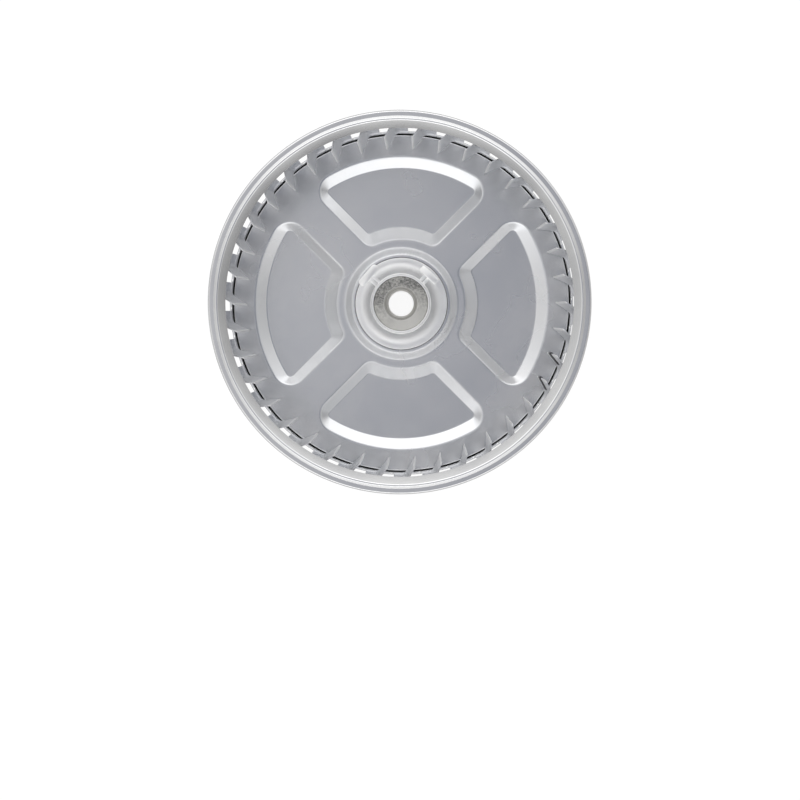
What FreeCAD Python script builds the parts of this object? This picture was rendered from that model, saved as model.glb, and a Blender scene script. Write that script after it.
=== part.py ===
# Forward-curved centrifugal fan impeller in galvanised sheet steel.
# Frame: +Z is the axis, the back plate's lip rests on z = 0 and the inlet opens upwards.
import FreeCAD, Part
import math
import os

import Sketcher

doc = FreeCAD.newDocument("FanImpeller")

# Driving dimensions, in millimetres, degrees and counts
SIZES = [
    ("wheel_height", 80.0, "lip of the back plate to the crest of the inlet ring"),
    # blade strip
    ("strip_diameter", 171.0, "outside of the rolled strip at its two margins"),
    ("strip_sheet", 0.5, "sheet thickness of the blade strip"),
    ("strip_bend", 0.6, "bevel where a margin turns out into its flange"),
    ("blade_count", 38, "blades round the wheel"),
    ("lower_margin", 7.0, "plain height of the strip above its lower flange"),
    ("upper_margin", 7.5, "plain height of the strip below its upper flange"),
    ("land_width", 3.2, "strip left standing between two windows"),
    ("land_rise", 1.2, "how far a land is pressed out beyond the margins"),
    ("land_shoulder", 3.0, "height over which a land rises from the margin"),
    ("window_corner", 2.0, "corner radius of a window beside the next land"),
    ("blade_bend", 3.0, "inner bend radius between a land and its blade"),
    ("blade_turn", 68.0, "angle that the bend turns the blade inwards"),
    ("blade_slit", 0.6, "slit that frees a blade's end from the margin"),
    ("blade_phase", 85.8, "angle of the first blade's inner edge from +X"),
    # balance clips
    ("clip_sheet", 0.4, "sheet thickness of a balance clip"),
    ("clip_gap", 0.05, "clearance between a clip and its blade"),
    ("clip_length", 12.0, "length of a clip along its blade's edge"),
    ("clip_top", 39.0, "height of a clip's upper end above the lip"),
    ("clip_setback", 0.1, "end of a clip's long leg short of its blade's bend"),
    ("clip_short_leg", 1.6, "leg of a clip on the other side"),
    ("clip_flare", 0.9, "flared end of the short leg"),
    ("clip_flare_angle", 35.0, "angle by which the short leg's end flares"),
    ("clip_blade", 26, "blade with the first clip, counted anticlockwise from the first blade"),
    ("clip_count", 2, "clips, on neighbouring blades"),
    # back plate
    ("plate_sheet", 0.8, "sheet thickness of the back plate"),
    ("lip_reach", 3.1, "edge of the back plate's lip out beyond the strip"),
    ("lip_width", 4.3, "flat lip from its outer edge in to the step"),
    ("step_run", 0.3, "width over which the lip steps up to the floor"),
    ("floor_step", 2.5, "underside of the floor above the lip"),
    ("pad_count", 4, "pads pressed into the floor"),
    ("pad_depth", 2.4, "how far a pad's flat lies below the floor"),
    ("pad_border", 8.6, "floor left between the step and a pad"),
    ("pad_spacing", 3.5, "floor left between the raised centre's foot and a pad"),
    ("pad_side_offset", 7.6, "half width of a spoke between two pads"),
    ("pad_outer_wall", 6.4, "width of the wall at a pad's outer side"),
    ("pad_inner_wall", 7.4, "width of the wall at a pad's inner side"),
    ("pad_side_wall", 5.6, "width of the wall along a spoke"),
    ("pad_outer_corner", 10.0, "corner radius at a pad's outer boundary"),
    ("pad_inner_corner", 6.0, "corner radius at a pad's inner boundary"),
    ("pad_flat_corner", 2.0, "corner radius of a pad's flat"),
    ("boss_border", 1.4, "raised centre beyond the hub sleeve's flange"),
    ("boss_run", 3.6, "width over which the plate rises to its centre"),
    ("boss_rise", 1.8, "height of the raised centre above the floor"),
    ("hole_clearance", 3.15, "edge of the plate's hole out beyond the shaft bore"),
    # inlet ring
    ("ring_sheet", 0.7, "sheet thickness of the inlet ring"),
    ("rim_reach", 4.5, "edge of the inlet ring out beyond the strip"),
    ("crest_drop", 0.8, "flange of the inlet ring below its crest"),
    ("crest_inset", 3.5, "circle of the crest in from the ring's edge"),
    ("crest_flat", 1.0, "width of the crest"),
    ("cone_run", 4.0, "width of the cone from the crest in to the inlet"),
    ("cone_angle", 32.0, "slope of the cone that leads into the inlet"),
    # both hems
    ("hem_width", 1.6, "width of a hem in from the edge that it is folded at"),
    ("hem_gap", 0.25, "clearance between a hem's fold and the strip that it holds"),
    # hub
    ("bore_diameter", 12.7, "shaft bore"),
    ("bush_diameter", 27.2, "outside of the bush"),
    ("bush_length", 18.9, "length of the bush"),
    ("bore_chamfer", 0.9, "chamfer of the bore at the back plate"),
    ("bore_mouth", 1.9, "wider chamfer of the bore at its free end"),
    ("bush_chamfer", 0.4, "chamfer round each end of the bush"),
    ("fit_gap", 0.06, "clearance between bush, sleeve and clamp"),
    ("sleeve_sheet", 0.8, "sheet thickness of the hub sleeve"),
    ("sleeve_height", 19.4, "hub sleeve from its flange to its free end"),
    ("sleeve_fillet", 7.2, "outer radius between the sleeve and its flange"),
    ("sleeve_flange", 1.7, "flat of the sleeve's flange beyond the fillet"),
    ("clamp_sheet", 0.8, "thickness of the spring clamp's band"),
    ("clamp_width", 7.0, "width of the spring clamp's band"),
    ("clamp_setback", 0.3, "top of the clamp below the sleeve's free end"),
    ("ear_first", 45.0, "angle of the first ear from +X"),
    ("ear_second", 139.0, "angle of the second ear from +X"),
    ("ear_stem_length", 3.7, "stem of an ear from the band to its head"),
    ("ear_head_length", 10.8, "length of an ear's head across its stem"),
    ("ear_head_width", 3.0, "width of an ear's head"),
    ("ear_stem_width", 3.4, "width of an ear's stem"),
    ("ear_corner", 0.8, "corner radius of an ear's head"),
]

sheet = doc.addObject("Spreadsheet::Sheet", "Sizes")
for row, (alias, number, note) in enumerate(SIZES, start=1):
    sheet.set("A%d" % row, alias)
    sheet.set("B%d" % row, repr(number))
    sheet.set("C%d" % row, note)
    sheet.setAlias("B%d" % row, alias)
doc.recompute()


def size(alias):
    """Plain number of a driving dimension."""
    return float(sheet.get(alias))


def value(expression):
    """Number that an expression on the sheet gives."""
    result = sheet.evalExpression(expression)
    return float(getattr(result, "Value", result))


def half(alias):
    return "Sizes.%s / 2" % alias


# Levels along the axis, as expressions on the sheet
PLATE = "Sizes.plate_sheet"
STRIP = "Sizes.strip_sheet"
RING = "Sizes.ring_sheet"
FLOOR_UNDER = "Sizes.floor_step"
FLOOR_TOP = "(Sizes.floor_step + Sizes.plate_sheet)"
BOSS_UNDER = "(Sizes.floor_step + Sizes.boss_rise)"
BOSS_TOP = "(Sizes.floor_step + Sizes.boss_rise + Sizes.plate_sheet)"
RIM_TOP = "(Sizes.wheel_height - Sizes.crest_drop)"
SLEEVE_BORE = "(Sizes.bush_diameter / 2 + Sizes.fit_gap)"
SLEEVE_RADIUS = "(Sizes.bush_diameter / 2 + Sizes.fit_gap + Sizes.sleeve_sheet)"
SLEEVE_END = "(%s + Sizes.sleeve_height)" % BOSS_TOP
CLAMP_BORE = "(%s + Sizes.fit_gap)" % SLEEVE_RADIUS
CLAMP_RADIUS = "(%s + Sizes.clamp_sheet)" % CLAMP_BORE
CLAMP_TOP = "(%s - Sizes.clamp_setback)" % SLEEVE_END

# Radii that follow from their neighbours, as expressions on the sheet
LIP_RADIUS = "(Sizes.strip_diameter / 2 + Sizes.lip_reach)"
RIM_RADIUS = "(Sizes.strip_diameter / 2 + Sizes.rim_reach)"
FLOOR_EDGE = "(%s - Sizes.lip_width - Sizes.step_run)" % LIP_RADIUS
SLEEVE_FLANGE = "(%s + Sizes.sleeve_fillet + Sizes.sleeve_flange)" % SLEEVE_RADIUS
BOSS_EDGE = "(%s + Sizes.boss_border)" % SLEEVE_FLANGE
PAD_OUTER = "(%s - Sizes.pad_border)" % FLOOR_EDGE
PAD_INNER = "(%s + Sizes.boss_run + Sizes.pad_spacing)" % BOSS_EDGE
HOLE_RADIUS = "(Sizes.bore_diameter / 2 + Sizes.hole_clearance)"


def new_body(name):
    body = doc.addObject("PartDesign::Body", name)
    body.Label = name
    return body


def origin_feature(body, role):
    return [item for item in body.Origin.OriginFeatures if item.Role == role][0]


def arc_through(start, end, radius, turn):
    """Arc of a given radius from start to end, turning left (+1) or right (-1)."""
    chord = end - start
    reach = math.sqrt(max(radius ** 2 - (chord.Length / 2) ** 2, 0.0))
    normal = FreeCAD.Vector(-chord.y, chord.x, 0).normalize()
    centre = (start + end) * 0.5 + normal * reach * turn
    first, last = (start, end) if turn > 0 else (end, start)
    angle_first = math.atan2(first.y - centre.y, first.x - centre.x)
    angle_last = math.atan2(last.y - centre.y, last.x - centre.x)
    circle = Part.Circle(centre, FreeCAD.Vector(0, 0, 1), radius)
    return Part.ArcOfCircle(circle, angle_first, angle_last)


def draw_outline(sketch, corners):
    """Closed outline: each corner is (x, y) or (x, y, radius, turn), where the last two
    make the edge to the next corner an arc. Places and radii stay bound to the sheet."""
    points = [FreeCAD.Vector(value(corner[0]), value(corner[1]), 0) for corner in corners]
    count = len(corners)
    first_geometry = sketch.GeometryCount
    for index, corner in enumerate(corners):
        start = points[index]
        end = points[(index + 1) % count]
        if len(corner) == 4:
            edge = arc_through(start, end, value(corner[2]), corner[3])
        else:
            edge = Part.LineSegment(start, end)
        sketch.addGeometry(edge, False)
    for index, corner in enumerate(corners):
        geometry = first_geometry + index
        following = first_geometry + (index + 1) % count
        starts_here = 2 if len(corner) == 4 and corner[3] < 0 else 1
        ends_there = 3 - starts_here
        next_corner = corners[(index + 1) % count]
        next_start = 2 if len(next_corner) == 4 and next_corner[3] < 0 else 1
        sketch.addConstraint(
            Sketcher.Constraint("Coincident", geometry, ends_there, following, next_start))
        for kind, place in (("DistanceX", corner[0]), ("DistanceY", corner[1])):
            number = sketch.addConstraint(
                Sketcher.Constraint(kind, -1, 1, geometry, starts_here, value(place)))
            sketch.setExpression("Constraints[%d]" % number, place)
        if len(corner) == 4:
            number = sketch.addConstraint(
                Sketcher.Constraint("Radius", geometry, value(corner[2])))
            sketch.setExpression("Constraints[%d]" % number, corner[2])


def new_sketch(body, name, role, corners, lift=None):
    """Sketch of one closed outline on a plane of the body, lifted along its normal."""
    sketch = body.newObject("Sketcher::SketchObject", name)
    sketch.AttachmentSupport = [(origin_feature(body, role), "")]
    sketch.MapMode = "FlatFace"
    if lift is not None:
        sketch.setExpression("AttachmentOffset.Base.z", lift)
    draw_outline(sketch, corners)
    return sketch


def revolve(body, name, sketch):
    feature = body.newObject("PartDesign::Revolution", name)
    feature.Profile = sketch
    feature.ReferenceAxis = (sketch, ["V_Axis"])
    feature.Angle = 360.0
    return feature


def fall(radius, level, run, drop):
    """Lower and upper corners of the back plate where it slopes down outwards by drop."""
    shift = "({t} * tan(atan(({d}) / ({w})) / 2))".format(t=PLATE, d=drop, w=run)
    far_radius = "(%s + %s)" % (radius, run)
    far_level = "(%s - %s)" % (level, drop)
    return {
        "near": (radius, level),
        "far": (far_radius, far_level),
        "near_top": ("(%s + %s)" % (radius, shift), "(%s + %s)" % (level, PLATE)),
        "far_top": ("(%s + %s)" % (far_radius, shift), "(%s + %s)" % (far_level, PLATE)),
    }


# Back plate: a hemmed lip, a step up to the floor, a raised centre and four pads
def plate_profile():
    boss = fall(BOSS_EDGE, BOSS_UNDER, "Sizes.boss_run", "Sizes.boss_rise")
    step = fall(FLOOR_EDGE, FLOOR_UNDER, "Sizes.step_run", "Sizes.floor_step")
    notch = "(%s - %s)" % (LIP_RADIUS, PLATE)
    hem_end = "(%s - Sizes.hem_width)" % LIP_RADIUS
    over_strip = "(%s + %s)" % (PLATE, STRIP)
    top = "(%s + %s)" % (over_strip, PLATE)
    return [
        (HOLE_RADIUS, BOSS_UNDER),
        boss["near"],
        boss["far"],
        step["near"],
        step["far"],
        (LIP_RADIUS, "0"),
        (LIP_RADIUS, top),
        (hem_end, top),
        (hem_end, over_strip),
        (notch, over_strip),
        (notch, PLATE),
        step["far_top"],
        step["near_top"],
        boss["far_top"],
        boss["near_top"],
        (HOLE_RADIUS, BOSS_TOP),
    ]


def pad_outline(share):
    """Outline of one pad on +X, from its wall's boundary (share 0) to its flat (share 1).
    Its sides run parallel to the spokes and its ends are arcs round the axis."""
    outer = "(%s - Sizes.pad_outer_wall * %s)" % (PAD_OUTER, share)
    inner = "(%s + Sizes.pad_inner_wall * %s)" % (PAD_INNER, share)
    side = "(Sizes.pad_side_offset + Sizes.pad_side_wall * %s)" % share
    mix = "(Sizes.{a} + (Sizes.pad_flat_corner - Sizes.{a}) * {s})"
    far_corner = mix.format(a="pad_outer_corner", s=share)
    near_corner = mix.format(a="pad_inner_corner", s=share)
    spoke = "(180 / Sizes.pad_count)"

    def place(along, across, sign):
        x = "(({u}) * cos({a}) + ({w}) * sin({a}))".format(u=along, w=across, a=spoke)
        y = "{s} * (({u}) * sin({a}) - ({w}) * cos({a}))".format(
            u=along, w=across, a=spoke, s=sign)
        return (x, y)

    far_across = "(%s + %s)" % (side, far_corner)
    far_along = "sqrt((%s - %s)^2 - %s^2)" % (outer, far_corner, far_across)
    far_scale = "(%s / (%s - %s))" % (outer, outer, far_corner)
    near_across = "(%s + %s)" % (side, near_corner)
    near_along = "sqrt((%s + %s)^2 - %s^2)" % (inner, near_corner, near_across)
    near_scale = "(%s / (%s + %s))" % (inner, inner, near_corner)

    def tangents(sign):
        return (
            place("%s * %s" % (near_along, near_scale), "%s * %s" % (near_across, near_scale), sign),
            place(near_along, side, sign),
            place(far_along, side, sign),
            place("%s * %s" % (far_along, far_scale), "%s * %s" % (far_across, far_scale), sign),
        )

    upper = tangents("1")
    lower = tangents("-1")
    return [
        lower[0] + (near_corner, 1),
        lower[1],
        lower[2] + (far_corner, 1),
        lower[3] + (outer, 1),
        upper[3] + (far_corner, 1),
        upper[2],
        upper[1] + (near_corner, 1),
        upper[0] + (inner, -1),
    ]


def pad_loft(body, kind, name, surface):
    """Solid or hollow of one pad, from the given surface of the floor downwards."""
    foot = "%s - Sizes.pad_depth" % surface
    boundary = new_sketch(body, name + "_boundary", "XY_Plane", pad_outline("0"), surface)
    flat = new_sketch(body, name + "_flat", "XY_Plane", pad_outline("1"), foot)
    loft = body.newObject(kind, name)
    loft.Profile = boundary
    loft.Sections = [flat]
    loft.Ruled = True
    return loft


def make_back_plate():
    body = new_body("back_plate")
    revolve(body, "plate_disc", new_sketch(body, "plate_profile", "XZ_Plane", plate_profile()))
    doc.recompute()
    pressed = pad_loft(body, "PartDesign::AdditiveLoft", "pad_outside", FLOOR_UNDER)
    doc.recompute()
    hollow = pad_loft(body, "PartDesign::SubtractiveLoft", "pad_inside", FLOOR_TOP)
    doc.recompute()
    pattern = body.newObject("PartDesign::PolarPattern", "pads")
    pattern.Originals = [pressed, hollow]
    pattern.Axis = (origin_feature(body, "Z_Axis"), [""])
    pattern.Angle = 360.0
    pattern.setExpression("Occurrences", "Sizes.pad_count")
    body.Tip = pattern
    return body


# Inlet ring: a crest, a cone into the inlet and a flange hemmed round the strip's edge
def ring_profile():
    crest_top = "Sizes.wheel_height"
    crest_under = "(Sizes.wheel_height - %s)" % RING
    crest_in = "(%s - Sizes.crest_inset - Sizes.crest_flat / 2)" % RIM_RADIUS
    crest_out = "(%s - Sizes.crest_inset + Sizes.crest_flat / 2)" % RIM_RADIUS
    foot = "(%s + Sizes.crest_drop)" % crest_out
    cone_shift = "(%s * tan(Sizes.cone_angle / 2))" % RING
    fall_shift = "(%s * tan(22.5))" % RING
    lip = "(%s - Sizes.cone_run)" % crest_in
    cone_end = "(%s - Sizes.cone_run * tan(Sizes.cone_angle))" % crest_top
    cone_under_end = "(%s - %s / cos(Sizes.cone_angle))" % (cone_end, RING)
    notch = "(%s - %s)" % (RIM_RADIUS, RING)
    hem_end = "(%s - Sizes.hem_width)" % RIM_RADIUS
    over_strip = "(%s - %s)" % (RIM_TOP, RING)
    under_strip = "(%s - %s)" % (over_strip, STRIP)
    bottom = "(%s - %s)" % (under_strip, RING)
    return [
        (lip, cone_under_end),
        ("(%s + %s)" % (crest_in, cone_shift), crest_under),
        ("(%s - %s)" % (crest_out, fall_shift), crest_under),
        ("(%s - %s)" % (foot, fall_shift), over_strip),
        (notch, over_strip),
        (notch, under_strip),
        (hem_end, under_strip),
        (hem_end, bottom),
        (RIM_RADIUS, bottom),
        (RIM_RADIUS, RIM_TOP),
        (foot, RIM_TOP),
        (crest_out, crest_top),
        (crest_in, crest_top),
        (lip, cone_end),
    ]


def make_inlet_ring():
    body = new_body("inlet_ring")
    ring = revolve(body, "ring", new_sketch(body, "ring_profile", "XZ_Plane", ring_profile()))
    body.Tip = ring
    return body


# Hub sleeve: a drawn tube with a wide fillet down to its flange
def make_hub_sleeve():
    body = new_body("hub_sleeve")
    fillet = "Sizes.sleeve_fillet"
    sheet_size = "Sizes.sleeve_sheet"
    foot = "(%s + %s)" % (SLEEVE_RADIUS, fillet)
    level = "(%s + %s + %s)" % (BOSS_TOP, sheet_size, fillet)
    flange_top = "(%s + %s)" % (BOSS_TOP, sheet_size)
    outside = "(%s + %s)" % (fillet, sheet_size)

    def on_fillet(radius, angle):
        return ("(%s - %s * sin(%s))" % (foot, radius, angle),
                "(%s - %s * cos(%s))" % (level, radius, angle))

    profile = [
        (foot, BOSS_TOP),
        (SLEEVE_FLANGE, BOSS_TOP),
        (SLEEVE_FLANGE, flange_top),
        (foot, flange_top),
        on_fillet(fillet, 30),
        on_fillet(fillet, 60),
        (SLEEVE_RADIUS, level),
        (SLEEVE_RADIUS, SLEEVE_END),
        (SLEEVE_BORE, SLEEVE_END),
        (SLEEVE_BORE, level),
        on_fillet(outside, 45),
    ]
    body.Tip = revolve(body, "sleeve", new_sketch(body, "sleeve_profile", "XZ_Plane", profile))
    return body


# Hub bush: a plain bush standing on the centre of the back plate
def make_hub_bush():
    body = new_body("hub_bush")
    bore = half("bore_diameter")
    outer = half("bush_diameter")
    end = "(%s + Sizes.bush_length)" % BOSS_TOP
    inner_cut = "Sizes.bore_chamfer"
    outer_cut = "Sizes.bush_chamfer"
    profile = [
        ("(%s + %s)" % (bore, inner_cut), BOSS_TOP),
        ("(%s - %s)" % (outer, outer_cut), BOSS_TOP),
        (outer, "(%s + %s)" % (BOSS_TOP, outer_cut)),
        (outer, "(%s - %s)" % (end, outer_cut)),
        ("(%s - %s)" % (outer, outer_cut), end),
        ("(%s + Sizes.bore_mouth)" % bore, end),
        (bore, "(%s - Sizes.bore_mouth)" % end),
        (bore, "(%s + %s)" % (BOSS_TOP, inner_cut)),
    ]
    body.Tip = revolve(body, "bush", new_sketch(body, "bush_profile", "XZ_Plane", profile))
    return body


# Spring clamp: a band round the free end of the sleeve with two T-shaped ears
def ear_outline(angle):
    head_in = "(%s + Sizes.ear_stem_length)" % CLAMP_RADIUS
    head_out = "(%s + Sizes.ear_head_width)" % head_in
    root = "(%s - Sizes.clamp_sheet / 2)" % CLAMP_RADIUS
    stem = "(Sizes.ear_stem_width / 2)"
    head = "(Sizes.ear_head_length / 2)"
    corner = "Sizes.ear_corner"

    def place(along, across):
        x = "(({u}) * cos({a}) - ({w}) * sin({a}))".format(u=along, w=across, a=angle)
        y = "(({u}) * sin({a}) + ({w}) * cos({a}))".format(u=along, w=across, a=angle)
        return (x, y)

    return [
        place(root, "-" + stem),
        place(head_in, "-" + stem),
        place(head_in, "-(%s - %s)" % (head, corner)) + (corner, 1),
        place("%s + %s" % (head_in, corner), "-" + head),
        place("%s - %s" % (head_out, corner), "-" + head) + (corner, 1),
        place(head_out, "-(%s - %s)" % (head, corner)),
        place(head_out, "%s - %s" % (head, corner)) + (corner, 1),
        place("%s - %s" % (head_out, corner), head),
        place("%s + %s" % (head_in, corner), head) + (corner, 1),
        place(head_in, "%s - %s" % (head, corner)),
        place(head_in, stem),
        place(root, stem),
    ]


def make_spring_clamp():
    body = new_body("spring_clamp")
    bottom = "(%s - Sizes.clamp_width)" % CLAMP_TOP
    profile = [
        (CLAMP_BORE, bottom),
        (CLAMP_RADIUS, bottom),
        (CLAMP_RADIUS, CLAMP_TOP),
        (CLAMP_BORE, CLAMP_TOP),
    ]
    revolve(body, "band", new_sketch(body, "band_profile", "XZ_Plane", profile))
    doc.recompute()
    for name, angle in (("ear_1", "Sizes.ear_first"), ("ear_2", "Sizes.ear_second")):
        sketch = new_sketch(body, name + "_outline", "XY_Plane", ear_outline(angle), CLAMP_TOP)
        ear = body.newObject("PartDesign::Pad", name)
        ear.Profile = sketch
        ear.Reversed = True
        ear.setExpression("Length", "Sizes.clamp_sheet")
        doc.recompute()
        body.Tip = ear
    return body


# Blade strip: one rolled strip, lanced and formed into lands and blades
def margin_ring(margin_end, flange_end, tip):
    """One margin of the strip, from its end at the windows to its flange, which turns out."""
    outer = size("strip_diameter") / 2
    inner = outer - size("strip_sheet")
    bevel = size("strip_bend")
    away = 1 if flange_end > margin_end else -1
    flange = flange_end - away * size("strip_sheet")
    corners = [
        (inner, margin_end),
        (outer, margin_end),
        (outer, flange - away * bevel),
        (outer + bevel, flange),
        (tip, flange),
        (tip, flange_end),
        (outer + bevel, flange_end),
        (inner, flange_end - away * (bevel + size("strip_sheet"))),
    ]
    points = [FreeCAD.Vector(radius, 0, level) for radius, level in corners]
    face = Part.Face(Part.makePolygon(points + points[:1]))
    return face.revolve(FreeCAD.Vector(0, 0, 0), FreeCAD.Vector(0, 0, 1), 360)


def polar(radius, angle, level):
    """Point at a radius and an angle in degrees from +X."""
    radians = math.radians(angle)
    return FreeCAD.Vector(radius * math.cos(radians), radius * math.sin(radians), level)


def pitch():
    """Angle from one blade to the next."""
    return 360.0 / int(size("blade_count"))


def land_swing():
    """Angle that a land takes, from its free edge anticlockwise to its blade's bend."""
    return math.degrees(size("land_width") / (size("strip_diameter") / 2))


def blade_flat():
    """Straight width of a blade. Land, bend and blade use up one pitch of the flat strip."""
    middle = size("strip_diameter") / 2 - size("strip_sheet") / 2
    tongue = middle * math.radians(pitch()) - size("land_width")
    neutral = size("blade_bend") + size("strip_sheet") / 2
    return tongue - neutral * math.radians(size("blade_turn"))


def bend_centre(level):
    """Centre of a blade's bend, on the radius through the end of its land."""
    risen = size("strip_diameter") / 2 + size("land_rise")
    return polar(risen - size("strip_sheet") - size("blade_bend"), land_swing(), level)


def blade_heading():
    """Direction of a blade's straight width, from its bend inwards to its edge."""
    return land_swing() + size("blade_turn") + 90


def blade_edge(level):
    """Middle of a blade's inner edge."""
    neutral = size("blade_bend") + size("strip_sheet") / 2
    return (bend_centre(level) + polar(neutral, blade_heading() - 90, 0)
            + polar(blade_flat(), blade_heading(), 0))


def cell_turn(number):
    """Angle by which a numbered blade is turned, so that the first edge lies at its phase."""
    edge = blade_edge(0)
    return size("blade_phase") - math.degrees(math.atan2(edge.y, edge.x)) + number * pitch()


def land_section(outer, level):
    """Section of a land, from its free edge on +X anticlockwise to its blade."""
    inner = outer - size("strip_sheet")
    swing = land_swing()
    corners = [polar(outer, 0, level), polar(outer, swing, level),
               polar(inner, swing, level), polar(inner, 0, level)]
    return Part.makePolygon(corners + corners[:1])


def blade_section(level):
    """Section of a blade: a bend, tangent to the land's end, that turns the sheet inwards,
    and the straight width after it."""
    bend = size("blade_bend")
    outside = bend + size("strip_sheet")
    turn = size("blade_turn")
    centre = bend_centre(level)

    def on_bend(radius, angle):
        return centre + polar(radius, land_swing() + angle, 0)

    along = polar(blade_flat(), blade_heading(), 0)
    corners = [on_bend(outside, 0), on_bend(outside, turn), on_bend(outside, turn) + along,
               on_bend(bend, turn) + along, on_bend(bend, turn), on_bend(bend, 0)]
    edges = [
        Part.Arc(corners[0], on_bend(outside, turn / 2), corners[1]),
        Part.LineSegment(corners[1], corners[2]),
        Part.LineSegment(corners[2], corners[3]),
        Part.LineSegment(corners[3], corners[4]),
        Part.Arc(corners[4], on_bend(bend, turn / 2), corners[5]),
        Part.LineSegment(corners[5], corners[0]),
    ]
    return Part.Wire([edge.toShape() for edge in edges])


def land_neck(level, facing):
    """Foot of a land on its margin, widened at its free edge by the window's rounded corner."""
    outer = size("strip_diameter") / 2
    inner = outer - size("strip_sheet")
    corner = size("window_corner")
    tangent = FreeCAD.Vector(0, 1, 0)
    base = FreeCAD.Vector(outer / 2, 0, level)
    reach = outer * math.sin(math.radians(land_swing()))

    def at(sideways, rise):
        return base + tangent * sideways + FreeCAD.Vector(0, 0, facing * rise)

    bow = corner * (1 - math.sqrt(0.5))
    corners = [at(reach, 0), at(-corner, 0), at(-bow, bow), at(0, corner), at(reach, corner)]
    outline = Part.Face(Part.makePolygon(corners + corners[:1]))
    prism = outline.extrude(FreeCAD.Vector(outer, 0, 0))
    lowest = FreeCAD.Vector(0, 0, min(level, level + facing * corner))
    tube = Part.makeCylinder(outer, corner, lowest).cut(Part.makeCylinder(inner, corner, lowest))
    return prism.common(tube)


def make_blade_strip():
    outer = size("strip_diameter") / 2
    risen = outer + size("land_rise")
    bottom = size("plate_sheet")
    top = value(RIM_TOP) - size("ring_sheet")
    low = bottom + size("lower_margin")
    high = top - size("upper_margin")
    slit = size("blade_slit")
    neck = size("window_corner")
    shoulder = neck + size("land_shoulder")
    upwards = FreeCAD.Vector(0, 0, 1)

    blade = Part.Face(blade_section(low + slit)).extrude(upwards * (high - low - 2 * slit))
    land = Part.Face(land_section(risen, low + shoulder)).extrude(
        upwards * (high - low - 2 * shoulder))
    lower_shoulder = Part.makeLoft(
        [land_section(outer, low + neck), land_section(risen, low + shoulder)], True, True)
    upper_shoulder = Part.makeLoft(
        [land_section(risen, high - shoulder), land_section(outer, high - neck)], True, True)
    cell = blade.fuse([land, lower_shoulder, upper_shoulder, land_neck(low, 1), land_neck(high, -1)])

    lower_tip = value(LIP_RADIUS) - size("plate_sheet") - size("hem_gap")
    upper_tip = value(RIM_RADIUS) - size("ring_sheet") - size("hem_gap")
    lower = margin_ring(low, bottom, lower_tip)
    upper = margin_ring(high, top, upper_tip)
    cells = []
    for number in range(int(size("blade_count"))):
        copy = cell.copy()
        copy.rotate(FreeCAD.Vector(0, 0, 0), upwards, cell_turn(number))
        cells.append(copy)
    feature = doc.addObject("Part::Feature", "blade_strip")
    feature.Label = "blade_strip"
    feature.Shape = lower.fuse([upper] + cells)
    return feature


# Balance clips: spring clips pushed over the inner edges of neighbouring blades
def clip_section(level):
    """Section of a clip round the edge of a blade: a nose, a long leg on the blade's hollow
    side and a short leg with a flared end on the other."""
    inside = size("strip_sheet") / 2 + size("clip_gap")
    outside = inside + size("clip_sheet")
    heading = blade_heading()
    centre = blade_edge(level) + polar(size("clip_gap"), heading, 0)
    flare = size("clip_flare_angle")
    miter = size("clip_sheet") * math.tan(math.radians(flare / 2))

    def leg(side, length):
        return centre + polar(side, heading + 90, 0) + polar(-length, heading, 0)

    long_leg = blade_flat() - size("clip_setback")
    short_leg = size("clip_short_leg")
    flared = polar(size("clip_flare"), heading + 180 + flare, 0)
    corners = [
        leg(inside, long_leg), leg(inside, 0), leg(-inside, 0), leg(-inside, short_leg),
        leg(-inside, short_leg) + flared, leg(-outside, short_leg - miter) + flared,
        leg(-outside, short_leg - miter), leg(-outside, 0), leg(outside, 0), leg(outside, long_leg),
    ]
    noses = {
        1: centre + polar(inside, heading, 0),
        7: centre + polar(outside, heading, 0),
    }
    edges = []
    for index, corner in enumerate(corners):
        following = corners[(index + 1) % len(corners)]
        if index in noses:
            edges.append(Part.Arc(corner, noses[index], following))
        else:
            edges.append(Part.LineSegment(corner, following))
    return Part.Wire([edge.toShape() for edge in edges])


def make_balance_clip(number):
    clip = Part.Face(clip_section(size("clip_top") - size("clip_length"))).extrude(
        FreeCAD.Vector(0, 0, size("clip_length")))
    blade = int(size("clip_blade")) + number
    clip.rotate(FreeCAD.Vector(0, 0, 0), FreeCAD.Vector(0, 0, 1), cell_turn(blade))
    name = "balance_clip_%d" % (number + 1)
    feature = doc.addObject("Part::Feature", name)
    feature.Label = name
    feature.Shape = clip
    return feature


parts = [
    make_back_plate(),
    make_blade_strip(),
    make_inlet_ring(),
    make_hub_sleeve(),
    make_hub_bush(),
    make_spring_clamp(),
]
parts += [make_balance_clip(number) for number in range(int(size("clip_count")))]
doc.recompute()

for item in doc.Objects:
    if "Invalid" in item.State or "Error" in item.State:
        raise RuntimeError("%s failed: %s" % (item.Label, item.State))
for part in parts:
    shape = part.Shape
    if shape.isNull() or not shape.isValid():
        raise RuntimeError("%s has no valid shape" % part.Label)

os.makedirs("parts", exist_ok=True)
for part in parts:
    part.Shape.exportStep(os.path.join("parts", part.Label + ".step"))
    print(part.Label, len(part.Shape.Solids), "solid", round(part.Shape.Volume, 1), "mm3",
          part.Shape.BoundBox)
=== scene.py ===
import math

import bmesh
import bpy
from mathutils import Matrix, Vector


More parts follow.
